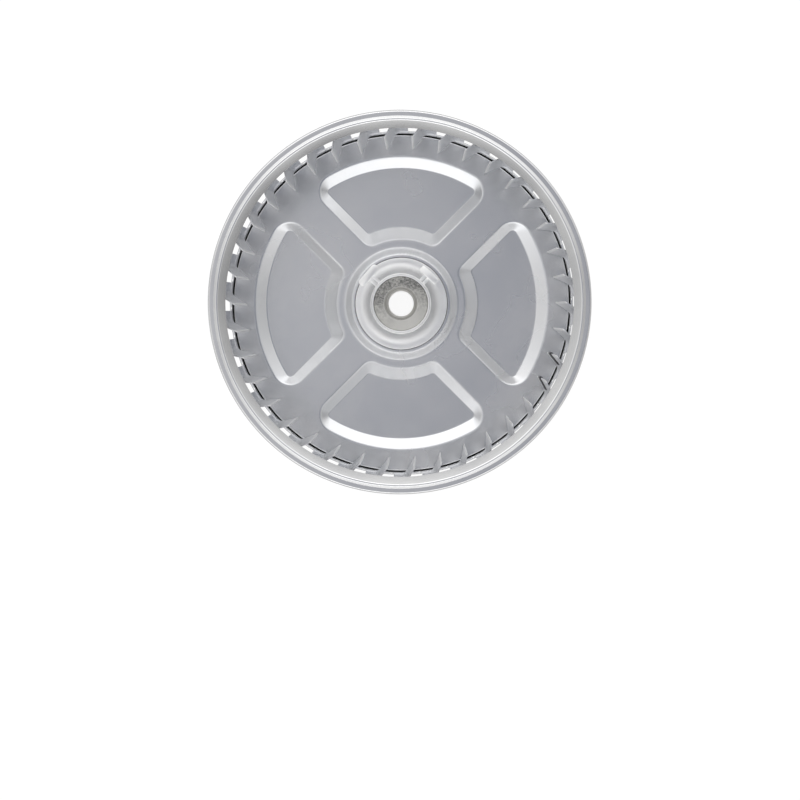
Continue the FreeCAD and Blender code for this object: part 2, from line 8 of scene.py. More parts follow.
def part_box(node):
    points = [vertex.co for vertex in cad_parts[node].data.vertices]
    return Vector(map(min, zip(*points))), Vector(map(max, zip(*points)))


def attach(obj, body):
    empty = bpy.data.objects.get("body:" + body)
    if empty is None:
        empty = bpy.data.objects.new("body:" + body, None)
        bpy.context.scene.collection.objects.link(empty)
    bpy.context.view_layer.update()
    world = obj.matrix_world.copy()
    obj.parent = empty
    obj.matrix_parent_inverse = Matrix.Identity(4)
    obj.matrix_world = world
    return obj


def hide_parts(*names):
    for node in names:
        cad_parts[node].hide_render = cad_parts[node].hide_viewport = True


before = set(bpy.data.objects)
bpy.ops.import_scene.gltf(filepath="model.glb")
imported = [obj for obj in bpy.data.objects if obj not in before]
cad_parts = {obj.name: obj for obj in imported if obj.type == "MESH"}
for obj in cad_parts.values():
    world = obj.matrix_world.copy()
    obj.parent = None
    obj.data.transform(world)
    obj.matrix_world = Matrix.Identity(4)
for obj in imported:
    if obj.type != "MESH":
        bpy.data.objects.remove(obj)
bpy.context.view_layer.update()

MM = 0.001

# Sizes read from the frame; the plate's lip ends a little inside its solid
WHEEL_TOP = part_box("inlet_ring")[1].z
RIM_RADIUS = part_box("inlet_ring")[1].x
LIP_TRIM = 0.65 * MM
LIP_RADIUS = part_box("back_plate")[1].x - LIP_TRIM
BUSH_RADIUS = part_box("hub_bush")[1].x
BUSH_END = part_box("hub_bush")[1].z
HUB_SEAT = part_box("hub_bush")[0].z
SLEEVE_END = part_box("hub_sleeve")[1].z
SLEEVE_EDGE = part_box("hub_sleeve")[1].x
CLAMP_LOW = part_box("spring_clamp")[0].z
CLAMP_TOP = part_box("spring_clamp")[1].z
STRIP_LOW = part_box("blade_strip")[0].z
STRIP_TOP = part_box("blade_strip")[1].z
CLIP_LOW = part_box("balance_clip_1")[0].z
CLIP_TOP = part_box("balance_clip_1")[1].z

# Sheets
PLATE_SHEET = 0.8 * MM
STRIP_SHEET = 0.5 * MM
RING_SHEET = 0.7 * MM
SLEEVE_SHEET = 0.8 * MM
CLAMP_SHEET = 0.8 * MM
CLIP_SHEET = 0.4 * MM
LIP_HEM = 1.08 * MM
RING_HEM = 1.6 * MM
FIT_GAP = 0.06 * MM
HEM_GAP = 0.25 * MM
FOLD_RUN = 0.1 * MM
WELD = 0.002 * MM

# Points round the turned pieces
PLATE_SEGMENTS = 256
RING_SEGMENTS = 304
HUB_SEGMENTS = 192

# Blade strip
RIM_REACH = 3.3 * MM
STRIP_RADIUS = RIM_RADIUS - RIM_REACH
STRIP_MIDDLE = STRIP_RADIUS - STRIP_SHEET / 2
BLADES = 38
PITCH = 2 * math.pi / BLADES
PITCH_LENGTH = STRIP_MIDDLE * PITCH
LAND_WIDTH = 3.2 * MM
LAND_RISE = 0.5 * MM
LAND_SHOULDER = 4.0 * MM
SHOULDER_STEPS = 6
BLADE_BEND = 4.2 * MM + STRIP_SHEET / 2
BLADE_TURN = math.radians(62)
BLADE_STRETCH = 1.12
BLADE_SLIT = 0.6 * MM
FIRST_BLADE_EDGE = math.radians(85.8)
WINDOW_CORNER = 2.0 * MM
WINDOW_CORNER_STEPS = (1.0, 0.75, 0.5, 0.25, 0.1, 0.0)
THIRDS = (0.33, 0.66)
LOWER_MARGIN = 7.0 * MM
UPPER_MARGIN = 7.5 * MM
STRIP_FOLD = 0.3 * MM

# Back plate
FLOOR_STEP = 2.5 * MM
DARK_GAP = 0.35 * MM
FLOOR_EDGE = STRIP_RADIUS - STRIP_SHEET - DARK_GAP
FLOOR_BORDER = 3.0 * MM
FLOOR_BENDS = (0.42 * MM, 0.5 * MM)
BOSS_RISE = 1.8 * MM
BOSS_RUN = 3.6 * MM
BOSS_BORDER = 1.4 * MM
BOSS_EXTRA = 0.3 * MM
BOSS_BENDS = 4.5 * MM
BOSS_SURROUND = 1.6 * MM
PLATE_HOLE = 9.5 * MM
PADS = 4
PAD_DEPTH = 2.4 * MM
PAD_INSET = 14.6 * MM
PAD_REACH = RIM_RADIUS - PAD_INSET
PAD_SPACING = 3.5 * MM
PAD_SIDE = 7.6 * MM
PAD_OUTER_WALL = 6.4 * MM
PAD_INNER_WALL = 7.4 * MM
PAD_SIDE_WALL = 5.6 * MM
PAD_OUTER_CORNER = 10.0 * MM
PAD_INNER_CORNER = 6.0 * MM
PAD_FLAT_CORNER = 2.0 * MM
PAD_STEPS = 16
PAD_LEVEL_OUTSIDE = -0.06
PAD_LEVEL_INSIDE = 1.07
WALL_BROW = 0.22
WALL_FOOT = 0.07

# Inlet ring
CREST_DROP = 0.6 * MM
CREST_INSET = 4.3 * MM
CREST_FLAT = 0.45 * MM
CREST_FALL = 0.70 * MM
CREST_SLOPE = 1.25 * MM
CREST_BENDS = (0.4 * MM, 0.5 * MM, 0.9 * MM)
RING_FOLD_GAP = 0.1 * MM
CONE_RUN = 3.5 * MM
CONE_SLOPE = math.tan(math.radians(36.5))

# Hub
BORE_RADIUS = 6.35 * MM
BORE_CHAMFER = 0.9 * MM
BORE_MOUTH = 1.9 * MM
MOUTH_BENDS = (0.15 * MM, 0.3 * MM, 0.1 * MM)
BUSH_CHAMFER = 0.4 * MM
BUSH_EDGE = 0.1 * MM
SLEEVE_FILLET = 7.2 * MM
CLAMP_RADIUS = BUSH_RADIUS + SLEEVE_SHEET + CLAMP_SHEET + 2 * FIT_GAP
BAND_EDGE = 0.34 * MM
EAR_ANGLES = (math.radians(45.4), math.radians(138.8))
EAR_STEMS = (3.1 * MM, 4.1 * MM)
EAR_STEM_WIDTH = 3.6 * MM
EAR_SLOT = 0.6 * MM
EAR_STRAND_DROP = 0.1 * MM
EAR_STRAND_ROOT = 0.3 * MM
EAR_STRAND_END = 0.4 * MM
EAR_STRAND_CORNER = 0.1 * MM
EAR_EDGES = (0.3 * MM, 0.25 * MM)
EAR_HEAD_WIDTHS = (3.5 * MM, 3.9 * MM)
EAR_HEAD_LENGTHS = (10.8 * MM, 12.6 * MM)
EAR_CORNERS = (0.5 * MM, 1.6 * MM)

# Balance clips
CLIP_GAP = 0.05 * MM
CLIP_LONG_LEG = 6.6 * MM
CLIP_SHORT_LEG = 1.6 * MM
CLIP_FLARE = 0.9 * MM
CLIP_FLARE_ANGLE = math.radians(35)
CLIP_BEND_STEPS = 10
CLIP_EDGE = 0.06 * MM
CLIP_BLADES = (26, 27)

# Colours of the metal, from dark to light
PLATE_COLOURS = ((0.73, 0.74, 0.76), (0.80, 0.80, 0.81))
STRIP_COLOURS = ((0.80, 0.81, 0.82), (0.87, 0.87, 0.88))
RING_COLOURS = ((0.78, 0.78, 0.79), (0.86, 0.86, 0.86))
SLEEVE_COLOURS = ((0.93, 0.93, 0.93), (0.99, 0.99, 0.99))
CLAMP_COLOURS = ((0.97, 0.97, 0.96), (1.0, 1.0, 0.99))
# Near white, painted on the blades' inner ends as a painted highlight
PAINTED_EDGE_HIGHLIGHT = (0.97, 0.97, 0.97)
# Near black, painted into gaps and creases as painted shade
PAINTED_SHADE = (0.02, 0.02, 0.02)
COARSE_GRAIN = ((0.14, 0.14, 0.14), (0.58, 0.57, 0.54))
PALE_GRAIN = ((0.60, 0.59, 0.56), (0.76, 0.75, 0.71))
TURNED_RINGS = ((0.52, 0.51, 0.49), (0.86, 0.85, 0.82))
BLACKENED = ((0.03, 0.03, 0.035), (0.10, 0.10, 0.11))
# Radius inside which the blades get the painted highlight
BLADE_EDGE_RADIUS = 79.2 * MM

# Surroundings
WHITE = (1.0, 1.0, 1.0)
FLOOR_GREY = (0.16, 0.16, 0.16)
FLOOR_GLOW = 0.90
FLOOR_GLOW_MIRRORED = 0.55
OVERHEAD_COLOURS = ((0.21, 0.225, 0.27), (0.64, 0.64, 0.66))
OVERHEAD_LEAN = (-0.18, 0.16)
BAND_LIGHT = 1.44
BAND_START = (0.34, 0.50)
BAND_END = (0.86, 0.92)
LOW_LIGHT = 0.42
HORIZON = (0.04, 0.20)

# Photograph's viewpoint: pixels of the 800 x 800 frame, and the camera above the inlet
PICTURE = 800
FOCAL_PIXELS = 1772.0
WHEEL_PIXEL = (399.4, 303.1)
CAMERA_PLACE = (0.0104, -0.0033)
CAMERA_HEIGHT = 0.830


# Tools for shaping
def deselect():
    bpy.ops.object.select_all(action="DESELECT")


def pick(piece):
    """Makes a piece the only selected and active object."""
    deselect()
    piece.select_set(True)
    bpy.context.view_layer.objects.active = piece


def polar(radius, angle, height=0.0):
    return Vector((radius * math.cos(angle), radius * math.sin(angle), height))


def arc(centre, radius, start, end, steps):
    """Points on an arc in a plane, from one angle to another."""
    return [(centre[0] + radius * math.cos(start + (end - start) * step / steps),
             centre[1] + radius * math.sin(start + (end - start) * step / steps))
            for step in range(steps + 1)]


def rounded(corners, step_angle=math.radians(12)):
    """Line through (x, y, radius) corners, with an arc of that radius at each inner one."""
    line = [corners[0][:2]]
    for before, corner, after in zip(corners, corners[1:], corners[2:]):
        here = Vector(corner[:2])
        back = (Vector(before[:2]) - here).normalized()
        ahead = (Vector(after[:2]) - here).normalized()
        turn = math.pi - back.angle(ahead)
        steps = max(2, math.ceil(turn / step_angle))
        reach = corner[2] * math.tan(turn / 2)
        centre = here + (back + ahead).normalized() * corner[2] / math.cos(turn / 2)
        first = here + back * reach - centre
        last = here + ahead * reach - centre
        start = math.atan2(first.y, first.x)
        swing = math.atan2(first.x * last.y - first.y * last.x, first.dot(last))
        line += arc(centre, corner[2], start, start + swing, steps)
    line.append(corners[-1][:2])
    return line


def extrude_turned(line):
    """Extrudes the selected ring along a line of (radius, height), starting at its first point."""
    for (radius, height), (next_radius, next_height) in zip(line, line[1:]):
        bpy.ops.mesh.extrude_region_move(
            TRANSFORM_OT_translate={"value": (0, 0, next_height - height)})
        ratio = next_radius / radius
        bpy.ops.transform.resize(value=(ratio, ratio, 1), center_override=(0, 0, 0))


def turned(name, line, segments, closed=False):
    """A line of (radius, height) turned round the axis."""
    deselect()
    bpy.ops.mesh.primitive_circle_add(
        vertices=segments, radius=line[0][0], location=(0, 0, line[0][1]))
    piece = bpy.context.object
    piece.name = name
    bpy.ops.object.transform_apply(location=True, rotation=True, scale=True)
    bpy.ops.object.mode_set(mode="EDIT")
    bpy.ops.mesh.select_all(action="SELECT")
    extrude_turned(line + line[:1] if closed else line)
    bpy.ops.mesh.select_all(action="SELECT")
    bpy.ops.mesh.remove_doubles(threshold=0.001 * MM)
    bpy.ops.mesh.normals_make_consistent(inside=False)
    bpy.ops.object.mode_set(mode="OBJECT")
    return piece


def formed_sheet(name, columns, rows, place, lanced=None):
    """A grid of columns and rows, lanced where a face is cut away and then formed: place
    gives the point for each column and row."""
    deselect()
    bpy.ops.mesh.primitive_grid_add(x_subdivisions=columns, y_subdivisions=rows, size=2)
    piece = bpy.context.object
    piece.name = name

    def cell(point):
        return (point.x + 1) / 2 * columns, (point.y + 1) / 2 * rows

    if lanced:
        bpy.ops.object.mode_set(mode="EDIT")
        bpy.ops.mesh.select_all(action="DESELECT")
        mesh = bmesh.from_edit_mesh(piece.data)
        for face in mesh.faces:
            column, row = cell(face.calc_center_median())
            face.select_set(lanced(int(column), int(row)))
        bmesh.update_edit_mesh(piece.data)
        bpy.ops.mesh.delete(type="FACE")
        bpy.ops.object.mode_set(mode="OBJECT")
    for vertex in piece.data.vertices:
        column, row = cell(vertex.co)
        vertex.co = place(round(column), round(row))
    return piece


def plate(name, outline, low, thickness, edge=0.12 * MM):
    """A flat plate with an outline of (x, y) points and softened edges."""
    deselect()
    bpy.ops.mesh.primitive_circle_add(vertices=len(outline), fill_type="NGON")
    piece = bpy.context.object
    piece.name = name
    for vertex, (x, y) in zip(piece.data.vertices, outline):
        vertex.co = (x, y, low)
    bpy.ops.object.mode_set(mode="EDIT")
    bpy.ops.mesh.select_all(action="SELECT")
    bpy.ops.mesh.extrude_region_move(TRANSFORM_OT_translate={"value": (0, 0, thickness)})
    bpy.ops.mesh.select_all(action="SELECT")
    bpy.ops.mesh.normals_make_consistent(inside=False)
    bpy.ops.object.mode_set(mode="OBJECT")
    soften(piece, edge)
    return piece


def apply_modifiers(piece):
    pick(piece)
    for modifier in list(piece.modifiers):
        bpy.ops.object.modifier_apply(modifier=modifier.name)


def soften(piece, width, segments=2, angle=math.radians(40)):
    """Small rounded edges."""
    bevel = piece.modifiers.new("soft_edges", "BEVEL")
    bevel.width = width
    bevel.segments = segments
    bevel.limit_method = "ANGLE"
    bevel.angle_limit = angle
    apply_modifiers(piece)


def give_wall(piece, thickness):
    """Thickens a surface to a sheet, half to each side."""
    wall = piece.modifiers.new("sheet", "SOLIDIFY")
    wall.thickness = thickness
    wall.offset = 0.0
    wall.use_even_offset = True
    wall.use_quality_normals = True
    apply_modifiers(piece)


def join(pieces, name, merge=0.0):
    """Joins pieces, and merges the points that meet."""
    pick(pieces[0])
    for piece in pieces[1:]:
        piece.select_set(True)
    bpy.ops.object.join()
    joined = bpy.context.object
    joined.name = name
    if merge:
        bpy.ops.object.mode_set(mode="EDIT")
        bpy.ops.mesh.select_all(action="SELECT")
        bpy.ops.mesh.remove_doubles(threshold=merge)
        bpy.ops.mesh.normals_make_consistent(inside=False)
        bpy.ops.object.mode_set(mode="OBJECT")
    return joined


def turned_copy(piece, angle):
    """A copy with a mesh of its own, turned round the axis."""
    copy = piece.copy()
    copy.data = piece.data.copy()
    copy.data.transform(Matrix.Rotation(angle, 4, "Z"))
    bpy.context.scene.collection.objects.link(copy)
    return copy


def finish_piece(piece, node, material, angle=math.radians(28), even_flats=False):
    """Smooth shading, material and the place of the piece in the frame."""
    pick(piece)
    bpy.ops.object.shade_smooth_by_angle(angle=angle)
    if even_flats:
        weighted = piece.modifiers.new("even_flats", "WEIGHTED_NORMAL")
        weighted.keep_sharp = True
        apply_modifiers(piece)
    piece.data.materials.clear()
    piece.data.materials.append(material)
    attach(piece, "root")
    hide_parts(node)


# Blade strip
def smooth_step(share):
    share = min(max(share, 0.0), 1.0)
    return share * share * (3 - 2 * share)


def strip_rows():
    """Rows across the strip as (radius, height), from the lower flange to the upper one,
    with the numbers of the rows that bound the windows."""
    low_level = STRIP_LOW + STRIP_SHEET / 2
    top_level = STRIP_TOP - STRIP_SHEET / 2
    low_tip = LIP_RADIUS - PLATE_SHEET - HEM_GAP
    top_tip = RIM_RADIUS - RING_SHEET - HEM_GAP
    low = STRIP_LOW + LOWER_MARGIN
    high = STRIP_TOP - UPPER_MARGIN
    fold = STRIP_MIDDLE + STRIP_FOLD
    rows = [(low_tip, low_level), ((low_tip + fold) / 2, low_level)]
    rows += arc((fold, low_level + STRIP_FOLD), STRIP_FOLD, -math.pi / 2, -math.pi, 5)
    for share in THIRDS:
        rows.append((STRIP_MIDDLE, rows[-1][1] + (low - rows[-1][1]) * share))
    marks = {"low": len(rows)}
    heights = [low, low + BLADE_SLIT, low + WINDOW_CORNER]
    for step in range(1, SHOULDER_STEPS + 1):
        heights.append(low + WINDOW_CORNER + LAND_SHOULDER * step / SHOULDER_STEPS)
    body = high - low - 2 * (WINDOW_CORNER + LAND_SHOULDER)
    for share in (0.25, 0.5, 0.75):
        heights.append(low + WINDOW_CORNER + LAND_SHOULDER + body * share)
    for step in range(SHOULDER_STEPS, -1, -1):
        heights.append(high - WINDOW_CORNER - LAND_SHOULDER * step / SHOULDER_STEPS)
    heights += [high - BLADE_SLIT, high]
    rows += [(STRIP_MIDDLE, height) for height in heights]
    marks["high"] = len(rows) - 1
    top_start = top_level - STRIP_FOLD
    for share in THIRDS:
        rows.append((STRIP_MIDDLE, high + (top_start - high) * share))
    rows += arc((fold, top_start), STRIP_FOLD, math.pi, math.pi / 2, 5)
    rows += [((top_tip + fold) / 2, top_level), (top_tip, top_level)]
    return rows, marks


def strip_columns():
    """Places along the flat strip, from the free edge of a land to that of the next."""
    land_steps = 4
    bend_steps = 8
    bend_length = BLADE_BEND * BLADE_TURN
    land = [LAND_WIDTH * step / land_steps for step in range(land_steps + 1)]
    bend = [LAND_WIDTH + bend_length * step / bend_steps for step in range(1, bend_steps + 1)]
    corner = [PITCH_LENGTH - WINDOW_CORNER * share for share in WINDOW_CORNER_STEPS]
    between = [bend[-1] * (1 - share) + corner[0] * share for share in THIRDS]
    return land + bend + between + corner, land_steps


def tongue_point(along, rise):
    """Point of a formed blade at a place along the flat strip, before its height is set."""
    share = (along - LAND_WIDTH) / (PITCH_LENGTH - LAND_WIDTH)
    past = (along - LAND_WIDTH) * BLADE_STRETCH
    lift = LAND_RISE + (rise - LAND_RISE) * (1 - share) ** 2
    land_end = LAND_WIDTH / PITCH_LENGTH * PITCH
    centre = polar(STRIP_MIDDLE + lift - BLADE_BEND, land_end)
    turned_by = min(past / BLADE_BEND, BLADE_TURN)
    point = centre + polar(BLADE_BEND, land_end + turned_by)
    straight = past - BLADE_BEND * turned_by
    return point + polar(straight, land_end + turned_by + math.pi / 2)


def first_blade_turn():
    """Turn that brings a blade's free edge from the first pitch to its place in the photograph."""
    edge = tongue_point(PITCH_LENGTH, LAND_RISE)
    return FIRST_BLADE_EDGE - math.atan2(edge.y, edge.x)


def make_blade_strip():
    rows, marks = strip_rows()
    columns, land_end = strip_columns()
    low, high = marks["low"], marks["high"]
    low_height = rows[low][1]
    high_height = rows[high][1]

    def rise_at(height):
        from_end = min(height - low_height, high_height - height) - WINDOW_CORNER
        return LAND_RISE * smooth_step(from_end / LAND_SHOULDER)

    def corner_rise(along):
        """Height of a window's rounded corner above the margin's edge."""
        inside = max(along - (PITCH_LENGTH - WINDOW_CORNER), 0.0)
        return WINDOW_CORNER - math.sqrt(max(WINDOW_CORNER ** 2 - inside ** 2, 0.0))

    def place(column, row):
        along = columns[column]
        radius, height = rows[row]
        angle = along / PITCH_LENGTH * PITCH
        if column > land_end and low < row < high:
            point = tongue_point(along, rise_at(height))
            return Vector((point.x, point.y, height))
        if column == 0 and row in (low, low + 1):
            height = low_height + WINDOW_CORNER
        if column == 0 and row in (high - 1, high):
            height = high_height - WINDOW_CORNER
        if column > land_end and row == low:
            height += corner_rise(along)
        if column > land_end and row == high:
            height -= corner_rise(along)
        if low < row < high:
            radius += rise_at(height)
        return polar(radius, angle, height)

    def lanced(column, row):
        return column >= land_end and row in (low, high - 1)

    cell = formed_sheet("strip_cell", len(columns) - 1, len(rows) - 1, place, lanced)
    first_turn = first_blade_turn()
    cells = [turned_copy(cell, first_turn + number * PITCH) for number in range(BLADES)]
    bpy.data.objects.remove(cell)
    strip = join(cells, "lanced_blade_strip", merge=WELD)
    give_wall(strip, STRIP_SHEET)
    return strip


# Back plate
def pad_loop(share):
    """Outline of a pad on +X, anticlockwise, from its wall's boundary (0) to its flat (1)."""
    foot = SLEEVE_EDGE + BOSS_BORDER + BOSS_RUN
    outer = PAD_REACH - PAD_OUTER_WALL * share
    inner = foot + PAD_SPACING + PAD_INNER_WALL * share
    side = PAD_SIDE + PAD_SIDE_WALL * share
    far = PAD_OUTER_CORNER + (PAD_FLAT_CORNER - PAD_OUTER_CORNER) * share
    near = PAD_INNER_CORNER + (PAD_FLAT_CORNER - PAD_INNER_CORNER) * share
    spoke = math.pi / PADS
    far_along = math.sqrt((outer - far) ** 2 - (side + far) ** 2)
    near_along = math.sqrt((inner + near) ** 2 - (side + near) ** 2)
    far_angle = spoke - math.atan2(side + far, far_along)
    near_angle = spoke - math.atan2(side + near, near_along)
    far_centre = polar(outer - far, far_angle)
    near_centre = polar(inner + near, near_angle)
    side_normal = spoke + math.pi / 2
    half = arc((0, 0), outer, 0, far_angle, 20)
    half += arc(far_centre, far, far_angle, side_normal, 10)[1:]
    side_start = Vector(half[-1])
    near_arc = arc(near_centre, near, side_normal, near_angle + math.pi, 8)
    side_end = Vector(near_arc[0])
    half += [tuple(side_start.lerp(side_end, step / 12)) for step in range(1, 12)]
    half += near_arc
    half += arc((0, 0), inner, near_angle, 0, 12)[1:]
    return half + [(x, -y) for x, y in reversed(half[1:-1])]


def wall_fall(share):
    """Fall of a pad's wall: rounded at the floor, then straight, and tight at the flat."""
    slope = 1 / (1 - (WALL_BROW + WALL_FOOT) / 2)
    if share < WALL_BROW:
        return slope * share * share / (2 * WALL_BROW)
    if share > 1 - WALL_FOOT:
        return 1 - slope * (1 - share) ** 2 / (2 * WALL_FOOT)
    return slope * (share - WALL_BROW / 2)


def make_pad(floor_level):
    """Walls and flat of one pad on +X, with a level loop outside and inside its walls."""
    shares = [step / PAD_STEPS for step in range(PAD_STEPS + 1)]
    shares = [PAD_LEVEL_OUTSIDE] + shares + [PAD_LEVEL_INSIDE]
    loops = [pad_loop(share) for share in shares]
    deselect()
    bpy.ops.mesh.primitive_circle_add(vertices=len(loops[0]))
    piece = bpy.context.object
    bpy.ops.object.mode_set(mode="EDIT")
    bpy.ops.mesh.select_all(action="SELECT")
    mesh = bmesh.from_edit_mesh(piece.data)
    order = mesh.verts.layers.int.new("order")
    for number, vertex in enumerate(mesh.verts):
        vertex[order] = number
    for share, loop in zip(shares, loops):
        if loop is not loops[0]:
            bpy.ops.mesh.extrude_region_move()
            mesh = bmesh.from_edit_mesh(piece.data)
            order = mesh.verts.layers.int["order"]
        level = floor_level - PAD_DEPTH * wall_fall(min(max(share, 0.0), 1.0))
        for vertex in mesh.verts:
            if vertex.select:
                vertex.co = Vector((*loop[vertex[order]], level))
        bmesh.update_edit_mesh(piece.data)
    bpy.ops.mesh.fill(use_beauty=True)
    bpy.ops.object.mode_set(mode="OBJECT")
    return piece


def make_back_plate():
    half = PLATE_SHEET / 2
    floor_level = FLOOR_STEP + half
    boss_level = floor_level + BOSS_RISE
    boss_edge = SLEEVE_EDGE + BOSS_BORDER
    foot = boss_edge + BOSS_RUN
    centre_line = rounded([
        (PLATE_HOLE, boss_level, 0),
        (boss_edge + BOSS_EXTRA, boss_level, BOSS_BENDS),
        (foot, floor_level, BOSS_BENDS),
        (foot + BOSS_SURROUND, floor_level, 0),
    ], math.radians(4))
    centre = turned("plate_centre", centre_line, PLATE_SEGMENTS)
    fold = (STRIP_SHEET + PLATE_SHEET) / 2
    fold_centre = (LIP_RADIUS - half - fold, half + fold)
    rim_line = rounded([
        (FLOOR_EDGE - FLOOR_BORDER, floor_level, 0),
        (FLOOR_EDGE - half, floor_level, FLOOR_BENDS[0]),
        (FLOOR_EDGE - half, half, FLOOR_BENDS[1]),
        (fold_centre[0] - FOLD_RUN, half, 0),
    ], math.radians(8))
    rim_line += arc(fold_centre, fold, -math.pi / 2, math.pi / 2, 12)
    rim_line.append((LIP_RADIUS - LIP_HEM, fold_centre[1] + fold))
    rim = turned("plate_rim", rim_line, PLATE_SEGMENTS)
    pad = make_pad(floor_level)
    pads = [turned_copy(pad, number * 2 * math.pi / PADS) for number in range(PADS)]
    bpy.data.objects.remove(pad)
    piece = join([centre, rim] + pads, "pressed_back_plate", merge=WELD)
    fill_floor(piece, floor_level, centre_line[-1][0], rim_line[0][0])
    give_wall(piece, PLATE_SHEET)
    return piece


def fill_floor(piece, level, inside, outside):
    """Fills the floor between its open edges: the centre, the rim and the four pads."""
    margin = 0.1 * MM
    bpy.ops.object.mode_set(mode="EDIT")
    bpy.ops.mesh.select_all(action="DESELECT")
    bpy.ops.mesh.select_mode(type="EDGE")
    mesh = bmesh.from_edit_mesh(piece.data)
    for edge in mesh.edges:
        middle = (edge.verts[0].co + edge.verts[1].co) / 2
        on_floor = abs(middle.z - level) < 0.001 * MM
        between = inside - margin < middle.xy.length < outside + margin
        if edge.is_boundary and on_floor and between:
            edge.select_set(True)
    bmesh.update_edit_mesh(piece.data)
    bpy.ops.mesh.fill(use_beauty=True)
    bpy.ops.mesh.select_mode(type="VERT")
    bpy.ops.mesh.select_all(action="SELECT")
    bpy.ops.mesh.normals_make_consistent(inside=False)
    bpy.ops.object.mode_set(mode="OBJECT")


# Inlet ring
def make_inlet_ring():
    half = RING_SHEET / 2
    crest_level = WHEEL_TOP - half
    flange_level = crest_level - CREST_DROP
    crest_radius = RIM_RADIUS - CREST_INSET
    crest_in = crest_radius - CREST_FLAT / 2
    crest_out = crest_radius + CREST_FLAT / 2
    lip = crest_in - CONE_RUN
    fold = (STRIP_SHEET + RING_SHEET) / 2 + RING_FOLD_GAP
    fold_centre = (RIM_RADIUS - half - fold, flange_level - fold)
    line = [(RIM_RADIUS - RING_HEM, fold_centre[1] - fold)]
    line += arc(fold_centre, fold, -math.pi / 2, math.pi / 2, 12)
    line += rounded([
        (fold_centre[0] - FOLD_RUN, flange_level, 0),
        (crest_out + CREST_SLOPE, crest_level - CREST_FALL, CREST_BENDS[0]),
        (crest_out, crest_level, CREST_BENDS[1]),
        (crest_in, crest_level, CREST_BENDS[2]),
        (lip, crest_level - CONE_RUN * CONE_SLOPE, 0),
    ], math.radians(6))
    piece = turned("pressed_inlet_ring", line, RING_SEGMENTS)
    give_wall(piece, RING_SHEET)
    return piece


# Hub
def make_hub_sleeve():
    half = SLEEVE_SHEET / 2
    radius = BUSH_RADIUS + FIT_GAP + half
    fillet = SLEEVE_FILLET + half
    centre = (radius + fillet, HUB_SEAT + half + fillet)
    line = [(SLEEVE_EDGE, HUB_SEAT + half)]
    line += arc(centre, fillet, -math.pi / 2, -math.pi, 16)
    line.append((radius, SLEEVE_END))
    piece = turned("drawn_hub_sleeve", line, HUB_SEGMENTS)
    give_wall(piece, SLEEVE_SHEET)
    soften(piece, 0.12 * MM)
    return piece


def make_hub_bush():
    line = rounded([
        (BORE_RADIUS + BORE_CHAMFER, HUB_SEAT, 0),
        (BUSH_RADIUS - BUSH_CHAMFER, HUB_SEAT, BUSH_EDGE),
        (BUSH_RADIUS, HUB_SEAT + BUSH_CHAMFER, BUSH_EDGE),
        (BUSH_RADIUS, BUSH_END - BUSH_CHAMFER, BUSH_EDGE),
        (BUSH_RADIUS - BUSH_CHAMFER, BUSH_END, BUSH_EDGE),
        (BORE_RADIUS + BORE_MOUTH, BUSH_END, MOUTH_BENDS[0]),
        (BORE_RADIUS + 0.4 * BORE_MOUTH, BUSH_END - 0.75 * BORE_MOUTH, MOUTH_BENDS[1]),
        (BORE_RADIUS, BUSH_END - BORE_MOUTH, MOUTH_BENDS[2]),
        (BORE_RADIUS, HUB_SEAT + BORE_CHAMFER, 0),
    ])
    return turned("turned_hub_bush", line, HUB_SEGMENTS, closed=True)


def along_ear(angle, points):
    """Points given as (outwards, anticlockwise) of an ear, in the frame."""
    return [(u * math.cos(angle) - w * math.sin(angle), u * math.sin(angle) + w * math.cos(angle))
            for u, w in points]


def rounded_box(u_low, u_high, w_low, w_high, radius):
    """Outline of a box with rounded corners."""
    outline = []
    corners = ((u_high, w_high, 0), (u_low, w_high, 1), (u_low, w_low, 2), (u_high, w_low, 3))
    for u, w, quarter in corners:
        centre = (u - radius if u == u_high else u + radius,
                  w - radius if w == w_high else w + radius)
        start = quarter * math.pi / 2
        outline += arc(centre, radius, start, start + math.pi / 2, 5)
    return outline


def make_spring_clamp():
    inner = CLAMP_RADIUS - CLAMP_SHEET
    band = turned("clamp_band", [
        (inner, CLAMP_LOW), (CLAMP_RADIUS, CLAMP_LOW), (CLAMP_RADIUS, CLAMP_TOP),
        (inner, CLAMP_TOP)], HUB_SEGMENTS, closed=True)
    soften(band, BAND_EDGE, 4)
    pieces = [band]
    ear_low = CLAMP_TOP - CLAMP_SHEET
    strand_low = ear_low - EAR_STRAND_DROP
    strand = (EAR_STEM_WIDTH - EAR_SLOT) / 2
    ears = zip(EAR_ANGLES, EAR_STEMS, EAR_HEAD_WIDTHS, EAR_HEAD_LENGTHS, EAR_CORNERS)
    for angle, stem, width, length, corner in ears:
        head_in = CLAMP_RADIUS + stem
        reach = length / 2
        outline = rounded_box(head_in, head_in + width, -reach, reach, corner)
        outline = along_ear(angle, outline)
        pieces.append(plate("ear_head", outline, ear_low, CLAMP_SHEET, EAR_EDGES[0]))
        for side in (-1, 1):
            middle = side * (EAR_SLOT + strand) / 2
            outline = rounded_box(CLAMP_RADIUS - EAR_STRAND_ROOT, head_in + EAR_STRAND_END,
                                  middle - strand / 2, middle + strand / 2, EAR_STRAND_CORNER)
            outline = along_ear(angle, outline)
            pieces.append(plate("ear_strand", outline, strand_low, CLAMP_SHEET, EAR_EDGES[1]))
    return join(pieces, "sprung_clamp")


